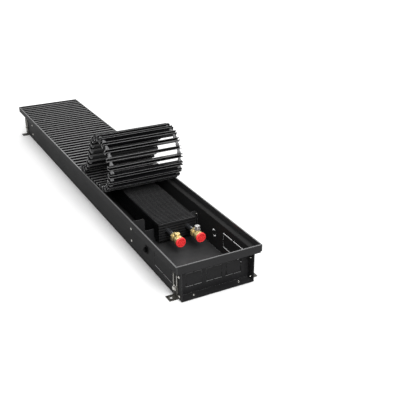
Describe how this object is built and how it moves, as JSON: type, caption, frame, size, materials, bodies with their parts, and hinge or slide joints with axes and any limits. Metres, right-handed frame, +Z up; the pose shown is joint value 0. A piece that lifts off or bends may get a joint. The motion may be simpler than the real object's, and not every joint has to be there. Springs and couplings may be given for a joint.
{
  "type": "trench convector heater",
  "caption": "Low floor-trench convector in a folded steel tray with a finned water exchanger, capped valves, adjustable feet and a roll-up slat grille folded back in a loop.",
  "frame": {"origin": "middle of the plan, on the plane under the feet", "axes": "+X along the length to the valve end, +Y across to the right wall, +Z up"},
  "size_m": [1.5, 0.263, 0.2841],
  "materials": {
    "black_powder_coat": "matt, fine texture",
    "end_powder_coat": "matt, fine texture",
    "edge_trim": "satin",
    "damping_strip": "matt",
    "plug_rubber": "matt",
    "zinc_screws": "zinc plated",
    "bracket_powder_coat": "matt",
    "black_fins": "painted black",
    "fin_cover": "matt",
    "water_tube": "painted copper",
    "brass_fittings": "machined",
    "nickel_vent": "nickel plated",
    "red_caps": "moulded",
    "zinc_feet": "zinc plated",
    "black_slats": "satin black",
    "grey_links": "moulded"
  },
  "bodies": {
    "casing": {"casing": "black_powder_coat", "front_end": "end_powder_coat", "rear_end": "end_powder_coat", "trim_left": "edge_trim", "trim_right": "edge_trim", "trim_front": "edge_trim", "trim_rear": "edge_trim", "ledge_strips": "damping_strip", "wall_plug": "plug_rubber", "wall_screws": "zinc_screws", "end_screws": "zinc_screws", "saddle_front": "bracket_powder_coat", "saddle_rear": "bracket_powder_coat", "fins": "black_fins", "cover_front": "fin_cover", "cover_rear": "fin_cover", "water_tubes": "water_tube", "return_bend": "water_tube", "union_nuts": "brass_fittings", "valve_left": "brass_fittings", "valve_right": "brass_fittings", "vent_body": "nickel_vent", "foot_bolts": "zinc_screws", "foot_washers": "zinc_screws", "foot_nuts": "zinc_screws"},
    "cap_left": {"cap_left": "red_caps"},
    "cap_right": {"cap_right": "red_caps"},
    "drain_plug": {"drain_plug": "brass_fittings"},
    "vent_screw": {"vent_screw": "nickel_vent"},
    "foot_front_left": {"foot_front_left": "zinc_feet"},
    "foot_front_right": {"foot_front_right": "zinc_feet"},
    "foot_rear_left": {"foot_rear_left": "zinc_feet"},
    "foot_rear_right": {"foot_rear_right": "zinc_feet"},
    "grille": {"flat_slats": "black_slats", "flat_links": "grey_links"},
    "ramp_low": {"ramp_low_slats": "black_slats"},
    "ramp_high": {"ramp_high_slats": "black_slats"},
    "slat_1": {"slat_1": "black_slats"},
    "slat_2": {"slat_2": "black_slats"},
    "slat_3": {"slat_3": "black_slats"},
    "slat_4": {"slat_4": "black_slats"},
    "slat_5": {"slat_5": "black_slats"},
    "slat_6": {"slat_6": "black_slats"},
    "slat_7": {"slat_7": "black_slats"},
    "slat_8": {"slat_8": "black_slats"},
    "slat_9": {"slat_9": "black_slats"},
    "slat_10": {"slat_10": "black_slats"},
    "slat_11": {"slat_11": "black_slats"},
    "slat_12": {"slat_12": "black_slats"},
    "slat_13": {"slat_13": "black_slats"},
    "slat_14": {"slat_14": "black_slats"},
    "slat_17": {"slat_17": "black_slats"},
    "slat_18": {"slat_18": "black_slats"},
    "slat_19": {"slat_19": "black_slats"},
    "slat_20": {"slat_20": "black_slats"}
  },
  "joints": [
    {"name": "grille_lift", "type": "slide", "parent": "casing", "child": "grille", "axis": [0, 0, 1], "range_m": [0, 0.15]},
    {"name": "grille_unroll", "type": "hinge", "parent": "grille", "child": "ramp_low", "pos_m": [0.0708, 0, 0.1025], "axis": [0, 1, 0], "range_deg": [0, 4]},
    {"name": "unroll_high", "type": "hinge", "parent": "ramp_low", "child": "ramp_high", "pos_m": [0.16896, 0, 0.10936], "axis": [0, 1, 0], "range_deg": [0, 4.05]},
    {"name": "unroll_1", "type": "hinge", "parent": "ramp_high", "child": "slat_1", "pos_m": [0.24204, 0, 0.11964], "axis": [0, 1, 0], "range_deg": [0, 17.69]},
    {"name": "unroll_2", "type": "hinge", "parent": "slat_1", "child": "slat_2", "pos_m": [0.26422, 0, 0.13028], "axis": [0, 1, 0], "range_deg": [0, 17.69]},
    {"name": "unroll_3", "type": "hinge", "parent": "slat_2", "child": "slat_3", "pos_m": [0.28213, 0, 0.14714], "axis": [0, 1, 0], "range_deg": [0, 17.69]},
    {"name": "unroll_4", "type": "hinge", "parent": "slat_3", "child": "slat_4", "pos_m": [0.29409, 0, 0.16864], "axis": [0, 1, 0], "range_deg": [0, 17.69]},
    {"name": "unroll_5", "type": "hinge", "parent": "slat_4", "child": "slat_5", "pos_m": [0.29897, 0, 0.19275], "axis": [0, 1, 0], "range_deg": [0, 17.69]},
    {"name": "unroll_6", "type": "hinge", "parent": "slat_5", "child": "slat_6", "pos_m": [0.29631, 0, 0.21721], "axis": [0, 1, 0], "range_deg": [0, 17.69]},
    {"name": "unroll_7", "type": "hinge", "parent": "slat_6", "child": "slat_7", "pos_m": [0.28637, 0, 0.23971], "axis": [0, 1, 0], "range_deg": [0, 17.69]},
    {"name": "unroll_8", "type": "hinge", "parent": "slat_7", "child": "slat_8", "pos_m": [0.27008, 0, 0.25814], "axis": [0, 1, 0], "range_deg": [0, 17.69]},
    {"name": "unroll_9", "type": "hinge", "parent": "slat_8", "child": "slat_9", "pos_m": [0.24896, 0, 0.27077], "axis": [0, 1, 0], "range_deg": [0, 17.69]},
    {"name": "unroll_10", "type": "hinge", "parent": "slat_9", "child": "slat_10", "pos_m": [0.22502, 0, 0.27641], "axis": [0, 1, 0], "range_deg": [0, 17.69]},
    {"name": "unroll_11", "type": "hinge", "parent": "slat_10", "child": "slat_11", "pos_m": [0.20049, 0, 0.27452], "axis": [0, 1, 0], "range_deg": [0, 17.69]},
    {"name": "unroll_12", "type": "hinge", "parent": "slat_11", "child": "slat_12", "pos_m": [0.17769, 0, 0.26529], "axis": [0, 1, 0], "range_deg": [0, 17.69]},
    {"name": "unroll_13", "type": "hinge", "parent": "slat_12", "child": "slat_13", "pos_m": [0.15875, 0, 0.24959], "axis": [0, 1, 0], "range_deg": [0, 12.67]},
    {"name": "unroll_14", "type": "hinge", "parent": "slat_13", "child": "slat_14", "pos_m": [0.14371, 0, 0.23012], "axis": [0, 1, 0], "range_deg": [0, 10.22]},
    {"name": "unroll_17", "type": "hinge", "parent": "slat_14", "child": "slat_17", "pos_m": [0.10959, 0, 0.16469], "axis": [0, 1, 0], "range_deg": [-9.97, 0]},
    {"name": "unroll_18", "type": "hinge", "parent": "slat_17", "child": "slat_18", "pos_m": [0.09462, 0, 0.14516], "axis": [0, 1, 0], "range_deg": [-12.54, 0]},
    {"name": "unroll_19", "type": "hinge", "parent": "slat_18", "child": "slat_19", "pos_m": [0.07579, 0, 0.12933], "axis": [0, 1, 0], "range_deg": [-17.56, 0]},
    {"name": "unroll_20", "type": "hinge", "parent": "slat_19", "child": "slat_20", "pos_m": [0.05307, 0, 0.1199], "axis": [0, 1, 0], "range_deg": [-22.59, 0]},
    {"name": "foot_front_left_slide", "type": "slide", "parent": "casing", "child": "foot_front_left", "axis": [0, 0, 1], "range_m": [-0.038, 0]},
    {"name": "foot_front_right_slide", "type": "slide", "parent": "casing", "child": "foot_front_right", "axis": [0, 0, 1], "range_m": [-0.038, 0]},
    {"name": "foot_rear_left_slide", "type": "slide", "parent": "casing", "child": "foot_rear_left", "axis": [0, 0, 1], "range_m": [-0.038, 0]},
    {"name": "foot_rear_right_slide", "type": "slide", "parent": "casing", "child": "foot_rear_right", "axis": [0, 0, 1], "range_m": [-0.038, 0]},
    {"name": "cap_left_pull", "type": "slide", "parent": "casing", "child": "cap_left", "axis": [1, 0, 0], "range_m": [0, 0.04]},
    {"name": "cap_right_pull", "type": "slide", "parent": "casing", "child": "cap_right", "axis": [1, 0, 0], "range_m": [0, 0.04]},
    {"name": "drain_plug_turn", "type": "hinge", "parent": "casing", "child": "drain_plug", "pos_m": [0.515, -0.0062, 0.07], "axis": [0, 0, 1], "range_deg": [0, 360]},
    {"name": "vent_screw_turn", "type": "hinge", "parent": "casing", "child": "vent_screw", "pos_m": [0.515, 0.0578, 0.07], "axis": [0, 0, 1], "range_deg": [0, 360]}
  ],
  "couplings": [
    {"joint": "unroll_high", "follows": "grille_unroll", "ratio": 1},
    {"joint": "unroll_1", "follows": "grille_unroll", "ratio": 4.4099},
    {"joint": "unroll_2", "follows": "grille_unroll", "ratio": 4.4099},
    {"joint": "unroll_3", "follows": "grille_unroll", "ratio": 4.4099},
    {"joint": "unroll_4", "follows": "grille_unroll", "ratio": 4.4099},
    {"joint": "unroll_5", "follows": "grille_unroll", "ratio": 4.4099},
    {"joint": "unroll_6", "follows": "grille_unroll", "ratio": 4.4099},
    {"joint": "unroll_7", "follows": "grille_unroll", "ratio": 4.4099},
    {"joint": "unroll_8", "follows": "grille_unroll", "ratio": 4.4099},
    {"joint": "unroll_9", "follows": "grille_unroll", "ratio": 4.4099},
    {"joint": "unroll_10", "follows": "grille_unroll", "ratio": 4.4099},
    {"joint": "unroll_11", "follows": "grille_unroll", "ratio": 4.4099},
    {"joint": "unroll_12", "follows": "grille_unroll", "ratio": 4.4099},
    {"joint": "unroll_13", "follows": "grille_unroll", "ratio": 3.1544},
    {"joint": "unroll_14", "follows": "grille_unroll", "ratio": 2.5423},
    {"joint": "unroll_17", "follows": "grille_unroll", "ratio": -2.4797},
    {"joint": "unroll_18", "follows": "grille_unroll", "ratio": -3.1231},
    {"joint": "unroll_19", "follows": "grille_unroll", "ratio": -4.3786},
    {"joint": "unroll_20", "follows": "grille_unroll", "ratio": -5.6341}
  ]
}
